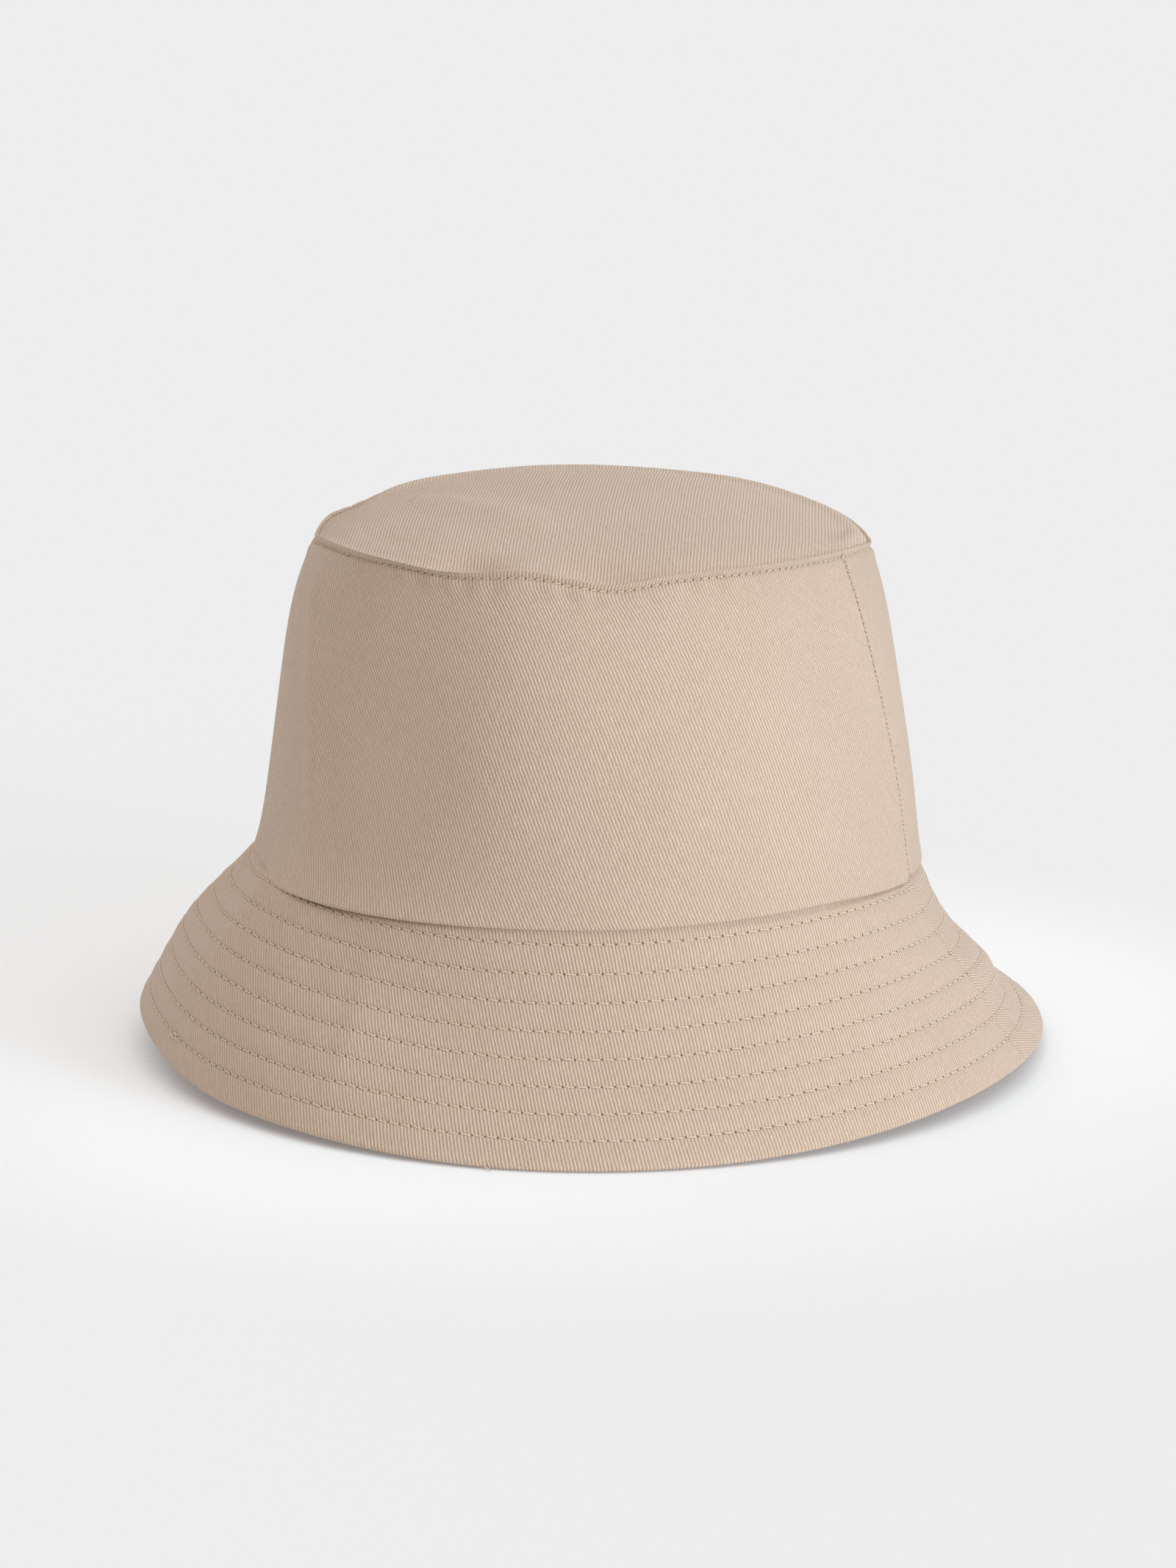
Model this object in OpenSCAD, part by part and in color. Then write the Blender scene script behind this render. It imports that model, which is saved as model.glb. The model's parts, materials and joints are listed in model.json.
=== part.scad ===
// Bucket hat: a cloth crown and a quilted brim, with lining, sweatband and labels.
// Millimetres. +Z is up, the front faces -Y, the side seams lie at +X and -X,
// and the brim's edge rests on the plane z = 0.

/* [Crown] */
// Outer radius of the crown where it meets the brim
crown_r = 94; // [88:1:100]
// Radius of the seam that joins the tip to the wall
tip_r = 76; // [70:1:80]
// Height of the wall, from the brim seam to the tip seam
crown_h = 92; // [80:1:105]
// Rise of the tip above its seam
tip_rise = 6; // [3:1:12]

/* [Brim] */
// Width of the brim along its slope
brim_w = 65; // [60:1:75]
// Lean of the brim away from vertical, in degrees
brim_lean = 32; // [25:1:45]
// Distance from the brim seam to the first stitch row
first_row = 3; // [2:0.5:4]
// Distance from one stitch row to the next
row_pitch = 7.7; // [6:0.1:7.7]

/* [Cloth] */
// Thickness of the outer twill
twill_t = 0.6; // [0.4:0.1:0.7]
// Thickness of the lining cloth
lining_t = 0.3; // [0.2:0.1:0.4]
// Thickness of the stiffener inside the brim
stiffener_t = 0.6; // [0.3:0.1:0.8]
// Radius of the sewing thread
thread_r = 0.2; // [0.1:0.05:0.25]

/* [Sweatband] */
// Thickness of the sweatband
band_t = 0.8; // [0.5:0.1:1]

/* [Labels] */
// Width of the care label along its sewn edge
label_w = 24; // [16:1:28]
// Length of the care label, from its sewn edge to its fold
label_l = 30; // [20:1:31]
// Thickness of the care label, folded double
label_t = 0.4; // [0.3:0.1:0.6]
// Angle round the head that the flat size label covers, in degrees
size_label_angle = 20; // [12:1:26]

/* [Hidden] */
$fn = 96;

stone = [0.80, 0.72, 0.63];
stone_dark = [0.74, 0.66, 0.57];
cream = [0.90, 0.87, 0.81];
white = [0.95, 0.95, 0.93];

gap = 0.05;                        // air between sewn layers
ply_gap = 0.1;                     // air between the layers of the crown
lining_gap = 0.7;                  // air between the seam allowances and the lining
thread_air = 0.02;                 // air between a thread and the cloth that it lies on
brim_t = 2 * twill_t + stiffener_t + 2 * gap;
seam_z = brim_w * cos(brim_lean) + brim_t * sin(brim_lean);
neck_r = crown_r - twill_t / 2;    // where the brim's top face starts
foot_air = 0.2;                    // air between the brim and the wall's bottom fold
foot_z = seam_z + foot_air;
tip_z = foot_z + crown_h;

// Wall profile: a cubic curve, steep at the brim and rounding in at the tip.
// Each handle is a distance across and a share of the wall's height.
foot_handle = [4, 0.32];
top_handle = [10.5, 0.167];
wall_curve = [
    [crown_r, foot_z],
    [crown_r - foot_handle[0], foot_z + foot_handle[1] * crown_h],
    [tip_r + top_handle[0], tip_z - top_handle[1] * crown_h],
    [tip_r, tip_z]
];
steps = 16;                        // straight pieces in the wall profile
hem_steps = 2;                     // of those, how many each turned-in hem covers
band_steps = 5;                    // and how many the sweatband covers
label_steps = [1, 4];              // and between which of them the size label lies
dome_steps = 8;                    // straight pieces in the tip's profile
tip_stitch_t = 0.965;              // where the topstitching lies on the wall, from 0 to 1
band_stitch_t = 0.03;              // where the sweatband's stitching lies

edge_lip = 1.2;                    // length of the fold at the brim's edge
under_end = brim_w - edge_lip - 0.1;   // where the stiffener and the under cloth stop
stiffener_start = 1;               // distance from the brim seam to the stiffener
band_joint = 0.3;                  // angle of the gap between the sweatband's ends
seam_thread_angle = 0.3;           // angle that a side seam's thread covers

// Depths of the layers behind the wall's outer face
hem_d = 2 * twill_t;
flange_d = hem_d + ply_gap;
lining_d = flange_d + twill_t + lining_gap;
band_d = lining_d + lining_t + ply_gap;
band_face_d = band_d + band_t;

function bezier(p, t) = pow(1 - t, 3) * p[0] + 3 * pow(1 - t, 2) * t * p[1]
    + 3 * (1 - t) * t * t * p[2] + t * t * t * p[3];
function slope(p, t) = 3 * (pow(1 - t, 2) * (p[1] - p[0])
    + 2 * (1 - t) * t * (p[2] - p[1]) + t * t * (p[3] - p[2]));
function outward(v) = [v[1], -v[0]] / norm(v);

// A point of the wall at t from 0 (brim seam) to 1 (tip seam), at a depth behind its outer face
function wall_at(t, depth) = bezier(wall_curve, t) - depth * outward(slope(wall_curve, t));
// The same for whole steps from i to j, in either direction
function wall_run(i, j, depth) =
    [for (k = [0 : abs(j - i)]) wall_at((i + k * sign(j - i)) / steps, depth)];
function wall_strip(i, j, outer_d, inner_d) =
    concat(wall_run(i, j, outer_d), wall_run(j, i, inner_d));

// A point of the brim at a distance from the neck, at a depth below its top face
function brim_at(s, depth) = [
    neck_r + s * sin(brim_lean) - depth * cos(brim_lean),
    seam_z - s * cos(brim_lean) - depth * sin(brim_lean)
];
function row_s(i) = first_row + (i - 1) * row_pitch;

// A point of the domed tip's profile, at radius r, for a dome that ends at [rim_r, rim_z]
function dome_at(r, rim_r, rim_z) = [r, rim_z + tip_rise * (1 - pow(r / rim_r, 2))];
function dome_run(rim_r, rim_z, from_r, to_r) =
    [for (k = [0 : dome_steps])
        dome_at(from_r + (to_r - from_r) * k / dome_steps, rim_r, rim_z)];

// Half a turn of a profile: the front half covers -Y and the back half +Y
module half_turn(points, back = false)
    rotate([0, 0, back ? 0 : 180]) rotate_extrude(angle = 180) polygon(points);
module full_turn(points) rotate_extrude() polygon(points);
module arc_turn(points, middle, width)
    rotate([0, 0, middle - width / 2]) rotate_extrude(angle = width) polygon(points);
module thread_ring(centre) rotate_extrude() translate(centre) circle(r = thread_r, $fn = 24);

// Wall panel with its hems turned in at the tip seam and at the brim seam
module crown_panel(back) {
    half_turn(concat(
        wall_run(0, steps, 0),
        wall_run(steps, steps - hem_steps, hem_d),
        wall_run(steps - hem_steps, hem_steps, twill_t),
        wall_run(hem_steps, 0, hem_d)
    ), back);
}
module crown_front_panel() color(stone) crown_panel(false);
module crown_back_panel() color(stone) crown_panel(true);

// Domed disc with its allowance turned down inside the wall
module crown_tip() {
    rim_z = tip_z + gap + twill_t;
    flange = wall_run(steps, steps - hem_steps, flange_d);
    flange_in = wall_run(steps - hem_steps, steps, flange_d + twill_t);
    under_r = flange_in[hem_steps][0];
    color(stone) full_turn(concat(
        dome_run(tip_r, rim_z, 0, tip_r),
        [[tip_r, tip_z + gap], [flange[0][0], tip_z + gap]],
        flange,
        flange_in,
        dome_run(tip_r, rim_z - twill_t, under_r, 0)
    ));
}

// Top cloth of the brim, which closes the brim's edge and stands on z = 0
module brim_top(back) {
    edge_s = seam_z / cos(brim_lean);
    half_turn([
        brim_at(0, 0),
        brim_at(edge_s - edge_lip, 0),
        [brim_at(edge_s, 0)[0] - edge_lip / 2, 0],
        brim_at(brim_w, brim_t),
        brim_at(brim_w - edge_lip, brim_t),
        brim_at(brim_w - edge_lip, twill_t),
        brim_at(0, twill_t)
    ], back);
}
module brim_top_front() color(stone) brim_top(false);
module brim_top_back() color(stone) brim_top(true);

module brim_stiffener(back) {
    top_d = twill_t + gap;
    half_turn([
        brim_at(stiffener_start, top_d),
        brim_at(under_end, top_d),
        brim_at(under_end, top_d + stiffener_t),
        brim_at(stiffener_start, top_d + stiffener_t)
    ], back);
}
module brim_stiffener_front() color(cream) brim_stiffener(false);
module brim_stiffener_back() color(cream) brim_stiffener(true);

// Under cloth of the brim, with its allowance turned up inside the crown
module brim_under(back) {
    top_d = brim_t - twill_t;
    half_turn(concat(
        [brim_at(under_end, top_d), brim_at(0, top_d)],
        wall_run(0, hem_steps, flange_d),
        wall_run(hem_steps, 0, flange_d + twill_t),
        [brim_at(0, brim_t), brim_at(under_end, brim_t)]
    ), back);
}
module brim_under_front() color(stone_dark) brim_under(false);
module brim_under_back() color(stone_dark) brim_under(true);

module side_lining(back) {
    half_turn(wall_strip(0, steps, lining_d, lining_d + lining_t), back);
}
module front_lining() color(cream) side_lining(false);
module back_lining() color(cream) side_lining(true);

module tip_lining() {
    rim = wall_at(1, lining_d + lining_t) - [ply_gap, 0];
    color(cream) full_turn(concat(
        dome_run(rim[0], rim[1], 0, rim[0]),
        dome_run(rim[0], rim[1] - lining_t, rim[0], 0)
    ));
}

// One strip round the head, with its ends butted at the back
module sweatband() {
    color(cream) arc_turn(wall_strip(0, band_steps, band_d, band_face_d), 270, 360 - band_joint);
}

module size_label() {
    face_d = band_face_d + gap;
    strip = wall_strip(label_steps[0], label_steps[1], face_d, face_d + label_t);
    color(white) arc_turn(strip, 90, size_label_angle);
}

// The care label hangs at the left from a bar of thread on the sweatband
band_top = wall_at(band_steps / steps, band_face_d);
label_sag = pow(label_w / 2, 2) / (2 * band_top[0]);
label_air = 0.5;                   // air between the label and the sweatband
hinge_drop = 0.6;                  // from the sweatband's top edge down to the hinge line
hinge_air = thread_r + 0.15;       // from the hinge line to the label's edge
tack_share = 0.8;                  // length of the bar of thread as a share of the label's width
label_hinge = [-(band_top[0] - label_sag - label_t - label_air), 0, band_top[1] - hinge_drop];
module care_label() {
    color(white) translate(label_hinge + [-label_t / 2, -label_w / 2, -hinge_air - label_l])
        cube([label_t, label_w, label_l]);
}
module care_label_tack() {
    bar = tack_share * label_w;
    leg = -label_hinge[0] - sqrt(pow(band_top[0], 2) - pow(bar / 2, 2)) + gap;
    color(white) translate(label_hinge) {
        rotate([90, 0, 0]) cylinder(r = thread_r, h = bar, center = true);
        for (side = [-1, 1])
            translate([leg / 2, side * (bar / 2 - thread_r), 0])
                cube([abs(leg), 2 * thread_r, 2 * thread_r], center = true);
    }
}

stitch_air = thread_r + thread_air;   // from the cloth to a thread's axis
module tip_topstitch() color(cream) thread_ring(wall_at(tip_stitch_t, -stitch_air));
module sweatband_stitch() color(cream) thread_ring(wall_at(band_stitch_t, band_face_d + stitch_air));

// Thread in the ditch of a side seam
module side_seam_stitch(at) {
    strip = wall_strip(0, steps - 1, -thread_r - thread_air, -thread_air);
    color(stone_dark) arc_turn(strip, at, seam_thread_angle);
}
module side_seam_stitch_left() side_seam_stitch(180);
module side_seam_stitch_right() side_seam_stitch(0);

module brim_stitch(i) color(cream) thread_ring(brim_at(row_s(i), -stitch_air));

crown_tip();
crown_front_panel();
crown_back_panel();
brim_top_front();
brim_top_back();
brim_stiffener_front();
brim_stiffener_back();
brim_under_front();
brim_under_back();
tip_lining();
front_lining();
back_lining();
sweatband();
size_label();
care_label();
care_label_tack();
tip_topstitch();
sweatband_stitch();
side_seam_stitch_left();
side_seam_stitch_right();
brim_stitch(1);  // brim_stitch_1
brim_stitch(2);  // brim_stitch_2
brim_stitch(3);  // brim_stitch_3
brim_stitch(4);  // brim_stitch_4
brim_stitch(5);  // brim_stitch_5
brim_stitch(6);  // brim_stitch_6
brim_stitch(7);  // brim_stitch_7
brim_stitch(8);  // brim_stitch_8
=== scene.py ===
"""Bucket hat: the looks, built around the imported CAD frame.

Shapes are worked out in millimetres and turned into metres when a mesh is made. Angles run round the
hat from +X, seen from above, so the front (-Y) is at 270 degrees and the side seams at 0 and 180.
"""
import json
import math

import bpy
import numpy as np
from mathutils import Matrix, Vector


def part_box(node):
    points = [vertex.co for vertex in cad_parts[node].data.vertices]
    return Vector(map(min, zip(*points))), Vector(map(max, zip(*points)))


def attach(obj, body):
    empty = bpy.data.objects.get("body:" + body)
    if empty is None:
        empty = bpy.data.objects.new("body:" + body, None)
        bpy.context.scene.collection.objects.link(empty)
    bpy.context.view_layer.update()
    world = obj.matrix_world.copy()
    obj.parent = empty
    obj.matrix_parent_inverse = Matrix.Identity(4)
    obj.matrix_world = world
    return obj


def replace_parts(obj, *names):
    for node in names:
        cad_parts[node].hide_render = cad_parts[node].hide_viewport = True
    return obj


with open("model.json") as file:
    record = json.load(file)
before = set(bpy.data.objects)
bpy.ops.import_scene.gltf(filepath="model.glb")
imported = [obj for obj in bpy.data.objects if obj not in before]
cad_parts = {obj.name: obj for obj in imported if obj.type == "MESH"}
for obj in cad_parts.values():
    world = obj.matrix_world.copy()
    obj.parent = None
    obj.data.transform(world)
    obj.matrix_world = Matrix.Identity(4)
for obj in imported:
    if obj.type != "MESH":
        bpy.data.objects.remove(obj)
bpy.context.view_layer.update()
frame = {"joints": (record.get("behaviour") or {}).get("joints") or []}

MM = 0.001


def box_mm(node):
    """Lowest and highest corner of a CAD node, in millimetres."""
    low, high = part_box(node)
    return np.array(low) / MM, np.array(high) / MM


# ---------------------------------------------------------------- sizes, from the frame

wall_low, wall_high = box_mm("crown_front_panel")
_, tip_high = box_mm("crown_tip")
_, brim_high = box_mm("brim_top_front")
_, band_high = box_mm("sweatband")
label_low, label_high = box_mm("care_label")
_, first_high = box_mm("brim_stitch_1")
_, last_high = box_mm("brim_stitch_8")
_, size_high = box_mm("size_label")

ROWS = 8
THREAD = 0.2  # radius of the thread
CROWN_R = wall_high[0]
FOOT_Z = wall_low[2]
TIP_Z = wall_high[2]
TIP_R = 76.0
TIP_RISE = tip_high[2] - TIP_Z
NECK_R = CROWN_R - 0.3
SEAM_Z = brim_high[2]
EDGE_R = brim_high[0] + 0.15
ROW_LEAN = math.atan2(last_high[0] - first_high[0], first_high[2] - last_high[2])
BRIM_W = (EDGE_R - NECK_R) / math.sin(ROW_LEAN)
FIRST_ROW = (first_high[0] - THREAD - NECK_R) / math.sin(ROW_LEAN) - 0.3
ROW_PITCH = (last_high[0] - first_high[0]) / math.sin(ROW_LEAN) / (ROWS - 1)
BAND_SHARE = (band_high[2] - FOOT_Z) / (TIP_Z - FOOT_Z)
WALL_LENGTH = 94.0  # along the wall from seam to seam
BRIM_T = 2.0  # thickness of the brim at its edge
CLOTH = 0.6  # thickness of the twill
RIDGE = 0.895  # from one twill line to the next
PICK = 0.46  # from one weft yarn to the next
STITCH = 3.45  # length of a brim stitch
TIP_STITCH = 2.5  # length of a stitch under the tip seam
TIP_STITCH_T = 0.968  # where that row lies on the wall
TIP_ROW_R = 78  # radius of that row
BAND_STITCH = 3.0  # length of a stitch of the sweatband
BAND_ROW_R = 90  # radius of its row
DITCH_STITCH = 2.2  # length of a stitch in a side seam

FRONT = (math.pi, 2 * math.pi)
BACK = (0.0, math.pi)

# ---------------------------------------------------------------- the soft shape

# Waves round the hat: (crests in a turn, millimetres, degrees of one crest)
EDGE_LIFT = [(1, 1.2, 226), (2, 3.5, 26), (3, 1.4, 97), (4, 0.7, 17)]
EDGE_OUT = [(1, 0.8, 88), (2, 0.4, 161)]
FOOT_LIFT = [(1, 1.1, 146), (2, 1.0, 113), (3, 1.0, 103)]
FOOT_OUT = [(1, 2.1, 255), (2, 0.8, 133)]
TIP_LIFT = [(1, 2.2, 166), (2, 1.4, 121), (3, 0.9, 113)]
TIP_OUT = [(1, 1.5, 100), (2, 2.4, 64)]
BRIM_BELLY = [(1, 2.2, 179), (2, 0.8, 42), (3, 2.8, 98)]
WALL_LOW_BELLY = [(1, 1.0, 351), (2, 1.2, 145)]
WALL_HIGH_BELLY = [(1, 1.0, 144), (2, 1.7, 61)]
EDGE_REST = 1.06  # height of the edge's top face where it rests
EDGE_BASE = 4.2  # mean height of the brim's edge
TWIST = math.radians(-2.5)  # the tip is turned a little against the brim


def wave(angle, waves):
    return sum(size * np.cos(count * (angle - math.radians(crest))) for count, size, crest in waves)


def near(angle, middle, width):
    """1 at middle, fading to nothing past width, both in degrees."""
    away = (angle - np.radians(middle) + math.pi) % (2 * math.pi) - math.pi
    return np.exp(-(away / np.radians(width)) ** 2)


def peak(angle, middle, width):
    """Like near, but with a soft ridge at middle instead of a round top."""
    away = (angle - np.radians(middle) + math.pi) % (2 * math.pi) - math.pi
    return np.exp(-np.sqrt((away / np.radians(width)) ** 2 + 0.02))


def bell(value, middle, width):
    return np.exp(-((value - middle) / width) ** 2)


def smooth(value, low, high):
    share = np.clip((value - low) / (high - low), 0, 1)
    return share * share * (3 - 2 * share)


def ripple(across, along, seed):
    """A slow uneven swell between about -1 and 1, for cloth that isn't quite flat."""
    total = 0
    for k in range(5):
        turn = 1.3 * k + seed
        stretch = 1 + 0.37 * k
        total = total + np.sin(stretch * (across * math.cos(turn) + along * math.sin(turn)) + 2.1 * k * seed)
    return total / 2.6


def ring_ripple(angle, count, along, seed):
    """The same kind of swell round the hat; it closes on itself after a whole turn."""
    total = 0
    for k in range(5):
        turn = 1.3 * k + seed
        stretch = 1 + 0.37 * k
        crests = round(stretch * count * math.cos(turn))
        total = total + np.sin(crests * angle + stretch * along * math.sin(turn) + 2.1 * k * seed)
    return total / 2.6


def turned(angle, radius, height):
    angle, radius, height = np.broadcast_arrays(angle, radius, height)
    return np.stack([radius * np.cos(angle), radius * np.sin(angle), height], -1)


WALL_CURVE = np.array([
    [CROWN_R, FOOT_Z],
    [CROWN_R - 4, FOOT_Z + 0.32 * (TIP_Z - FOOT_Z)],
    [TIP_R + 10.5, TIP_Z - 0.167 * (TIP_Z - FOOT_Z)],
    [TIP_R, TIP_Z],
])


def foot_hang(angle):
    """How far the wall's lower fold hangs over the brim: most at the front's left, a little at its right."""
    around = np.degrees(angle) % 360
    left = 2.4 * smooth(around, 220, 230) * (1 - smooth(around, 230, 284))
    right = 0.9 * smooth(around, 330, 352) * (1 - smooth(around, 356.5, 359.6))
    return left + right


def foot_lift(angle):
    return wave(angle, FOOT_LIFT) - 1.8 * near(angle, 15, 22) - 1.4 * near(angle, 205, 20)


def wall_section(t, angle):
    """Radius and height of the crown's wall; t is 0 at the brim seam and 1 at the tip seam."""
    share = np.clip(t, 0, 1)
    parts = [(1 - t) ** 3, 3 * (1 - t) ** 2 * t, 3 * (1 - t) * t * t, t ** 3]
    radius = sum(part * point[0] for part, point in zip(parts, WALL_CURVE))
    height = sum(part * point[1] for part, point in zip(parts, WALL_CURVE))
    low = 6.75 * share * (1 - share) ** 2
    high = 6.75 * share ** 2 * (1 - share)
    radius = radius + (0.6 + wave(angle, FOOT_OUT)) * (1 - share) + (wave(angle, TIP_OUT) - 0.5) * share
    radius = radius + low * wave(angle, WALL_LOW_BELLY) + high * wave(angle, WALL_HIGH_BELLY)
    arch = np.sin(math.pi * share)
    radius = radius - 4.6 * near(angle, 256, 20) * arch ** 0.7
    radius = radius - (0.4 * near(angle, 200, 18) + 0.5 * near(angle, 22, 18)) * arch
    radius = radius + 0.6 * near(angle, 20, 18) * share ** 8
    height = height + foot_lift(angle) * (1 - share) + tip_lift(angle) * share ** 1.5
    hang = foot_hang(angle)
    stand = 0.65 - 0.55 * near(angle, 214, 9) + 0.9 * hang
    radius = radius + stand * np.exp(-(np.maximum(t, 0) / 0.06) ** 1.5)
    height = height - hang * (1 - smooth(share, 0, 0.12))
    return radius, height


def tip_lift(angle):
    """Height of the tip seam above its place in the frame."""
    dips = 0.8 * near(angle, 264, 8) + 2.4 * near(angle, 299, 9) - 1.0 * near(angle, 281, 7)
    ends = 2.6 * near(angle, 206, 12) - 1.2 * near(angle, 78, 16) + 2.1 * near(angle, 31, 15)
    back = 1.2 * near(angle, 180, 9) - 0.7 * near(angle, 159, 11) + 0.9 * near(angle, 108, 42)
    return wave(angle, TIP_LIFT) - 1.7 - dips - ends - back


def wall(t, angle, depth=0.0, relief=True):
    """Points of the wall, depth millimetres behind its outer face, and the directions out of it."""
    step = 0.003
    r0, z0 = wall_section(t - step, angle)
    r1, z1 = wall_section(t + step, angle)
    radius, height = wall_section(t, angle)
    length = np.hypot(r1 - r0, z1 - z0)
    out_r, out_z = (z1 - z0) / length, -(r1 - r0) / length
    lift = -depth
    if relief:
        lift = lift + wall_relief(t, angle)
    turn = angle + TWIST * np.clip(t, 0, 1)
    points = turned(turn, radius + lift * out_r, height + lift * out_z)
    return points, turned(turn, out_r, out_z)


def seam_ditch(angle, radius):
    """How near an angle is to a side seam, in millimetres."""
    away = (angle + math.pi / 2) % math.pi - math.pi / 2
    return np.abs(away) * radius


def wall_relief(t, angle):
    """Small forms that stand out of the wall: the welt, the stitch groove, soft folds, side seams."""
    up = t * WALL_LENGTH
    stitch = TIP_STITCH_T * WALL_LENGTH
    from_row = up - stitch
    pulls = np.cos(angle * round(2 * math.pi * TIP_ROW_R / TIP_STITCH))
    welt = 0.35 * smooth(from_row, 0.1, 0.8) + 0.95 * smooth(from_row, 0.4, 2.6)
    groove = -0.42 * bell(from_row, 0, 0.55) * (1 - 0.25 * pulls)
    slack = 0.35 * bell(from_row, -3.2, 2.2)
    tucks = 0.22 * bell(from_row, -3.5, 4.5) * ring_ripple(angle, 34, up * 0.1, 1.7)
    seam = seam_ditch(angle, 88)
    allowance = 0.22 * (1 - smooth(seam, 6.5, 8.5))
    ditch = -0.9 * np.exp(-(seam / 0.42) ** 2)
    fold_at = 239 - 12 * np.clip(t, 0, 1)
    away = np.degrees(angle) - fold_at
    fold = 1.0 * np.exp(-(away / 3.2) ** 2) * smooth(t, 0.02, 0.3) * (1 - smooth(t, 0.8, 1.0))
    swell = 0.35 * ring_ripple(angle, 4.5, up * 0.045, 0.6) * np.sin(np.clip(t, 0, 1) * math.pi)
    return welt + groove + slack + tucks + allowance + ditch + fold + swell


def brim_section(s, angle):
    """Radius and height of the brim's top face; s is the distance from the crown along the slope."""
    share = s / BRIM_W
    neck_r = NECK_R + 0.6 + wave(angle, FOOT_OUT)
    neck_z = SEAM_Z + foot_lift(angle)
    edge_r = EDGE_R + 0.9 + wave(angle, EDGE_OUT) + 0.8 * near(angle, 285, 25) - 0.7 * near(angle, 10, 14)
    edge_z = EDGE_BASE + wave(angle, EDGE_LIFT) - 2.4 * near(angle, 233, 15) - 2.2 * near(angle, 18, 16)
    edge_z = edge_z + 0.5 * near(angle, 340, 20) - 0.6 * near(angle, 250, 14)
    over = edge_z - EDGE_REST
    edge_z = EDGE_REST + (over + np.sqrt(over ** 2 + 0.04)) / 2
    inside = np.clip(share, 0, 1)
    belly = (wave(angle, BRIM_BELLY) - 1.6) * 4 * inside * (1 - inside)
    belly = belly - 2.2 * near(angle, 258, 18) * bell(inside, 0.3, 0.25)
    belly = belly + 3.6 * near(angle, 14, 14) * bell(inside, 0.56, 0.15)
    belly = belly + 1.2 * near(angle, 203, 10) * bell(inside, 0.45, 0.22)
    belly = belly + (1.3 * peak(angle, 257, 7) + 0.9 * peak(angle, 0.5, 6)) * bell(inside, 0.5, 0.3)
    radius = neck_r + (edge_r - neck_r) * share + belly * math.cos(ROW_LEAN)
    height = neck_z + (edge_z - neck_z) * share + belly * math.sin(ROW_LEAN)
    return radius, height


def row_at(i):
    return FIRST_ROW + i * ROW_PITCH


def brim_relief(s, angle):
    """Quilting: a groove along each row, with the cloth standing up a little between them."""
    total = 0.0 * s * angle
    for i in range(ROWS):
        from_row = s - row_at(i)
        count = stitch_count(i)
        pulls = np.cos(count * row_phase(angle, i))
        total = total - 0.27 * bell(from_row, 0, 0.62) * (1 - 0.25 * pulls)
        total = total + 0.035 * pulls * (bell(from_row, 1.3, 0.8) + bell(from_row, -1.3, 0.8))
    between = np.sin(np.clip((s - FIRST_ROW) / ROW_PITCH, 0, ROWS) * math.pi) ** 2
    total = total + 0.16 * between + 0.10 * between * ring_ripple(angle, 31, s * 0.4, 2.3)
    seam = seam_ditch(angle, NECK_R + s * math.sin(ROW_LEAN))
    total = total - 0.30 * np.exp(-(seam / 0.5) ** 2) + 0.12 * (1 - smooth(seam, 5.5, 7.5))
    return total


def brim_fold(s, angle):
    """A soft fold that runs down the left of the brim from where the seam dies away."""
    crest = 1.9 * peak(angle, 226 + s * 0.04, 5.5) - 0.5 * near(angle, 213, 6)
    bridge = 1.2 * near(angle, 211, 9) * bell(s, -0.5, 2.4)
    return crest * (1 - smooth(s, 14, 60)) + bridge


def brim_gap(s, angle):
    """How far the brim falls away under the wall's fold."""
    return 1.1 * near(angle, 238, 13) * bell(s, 0.8, 1.9) + 0.6 * bell(s, 0.2, 1.0)


def stitch_count(i):
    return round(2 * math.pi * (NECK_R + row_at(i) * math.sin(ROW_LEAN)) / STITCH)


def row_phase(angle, i):
    """The angle, warped a little so that a row's stitches aren't all of one length."""
    return angle + 0.006 * np.sin(3 * angle + 1.9 * i) + 0.0035 * np.sin(11 * angle + 0.7 * i) + 0.4 * i


def brim(s, angle, depth=0.0, relief=1.0):
    """Points of the brim, depth millimetres below its top face, and the directions out of it."""
    step = 0.3
    r0, z0 = brim_section(s - step, angle)
    r1, z1 = brim_section(s + step, angle)
    radius, height = brim_section(s, angle)
    length = np.hypot(r1 - r0, z1 - z0)
    out_r, out_z = (z0 - z1) / length, (r1 - r0) / length
    share = 1.0 if relief > 0 else 0.4
    lift = relief * brim_relief(s, angle) + brim_fold(s, angle) - share * brim_gap(s, angle) - depth
    return turned(angle, radius + lift * out_r, height + lift * out_z), turned(angle, out_r, out_z)


def tip(q, angle, depth=0.0, relief=True):
    """Points of the tip; q is 0 at its middle and 1 where it goes down behind the wall's ridge."""
    rim, _ = wall(0.992, angle, 1.0, relief)
    rim_r = np.hypot(rim[..., 0], rim[..., 1])
    tilt = sum(size * q ** count * np.cos(count * (angle - math.radians(crest)))
               for count, size, crest in TIP_LIFT)
    base = TIP_Z - 1.2
    local = rim[..., 2] - base - wave(angle, TIP_LIFT)
    height = base + tilt + local * q ** 9 + (TIP_RISE + 0.6) * (1 - q * q) - depth
    if relief:
        height = height + tip_relief(q, angle)
    up = np.broadcast_to(np.array([0.0, 0.0, 1.0]), np.broadcast(q, angle).shape + (3,))
    return turned(angle + TWIST, (TIP_R + (rim_r - TIP_R) * q ** 2) * q, height), up


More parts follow.
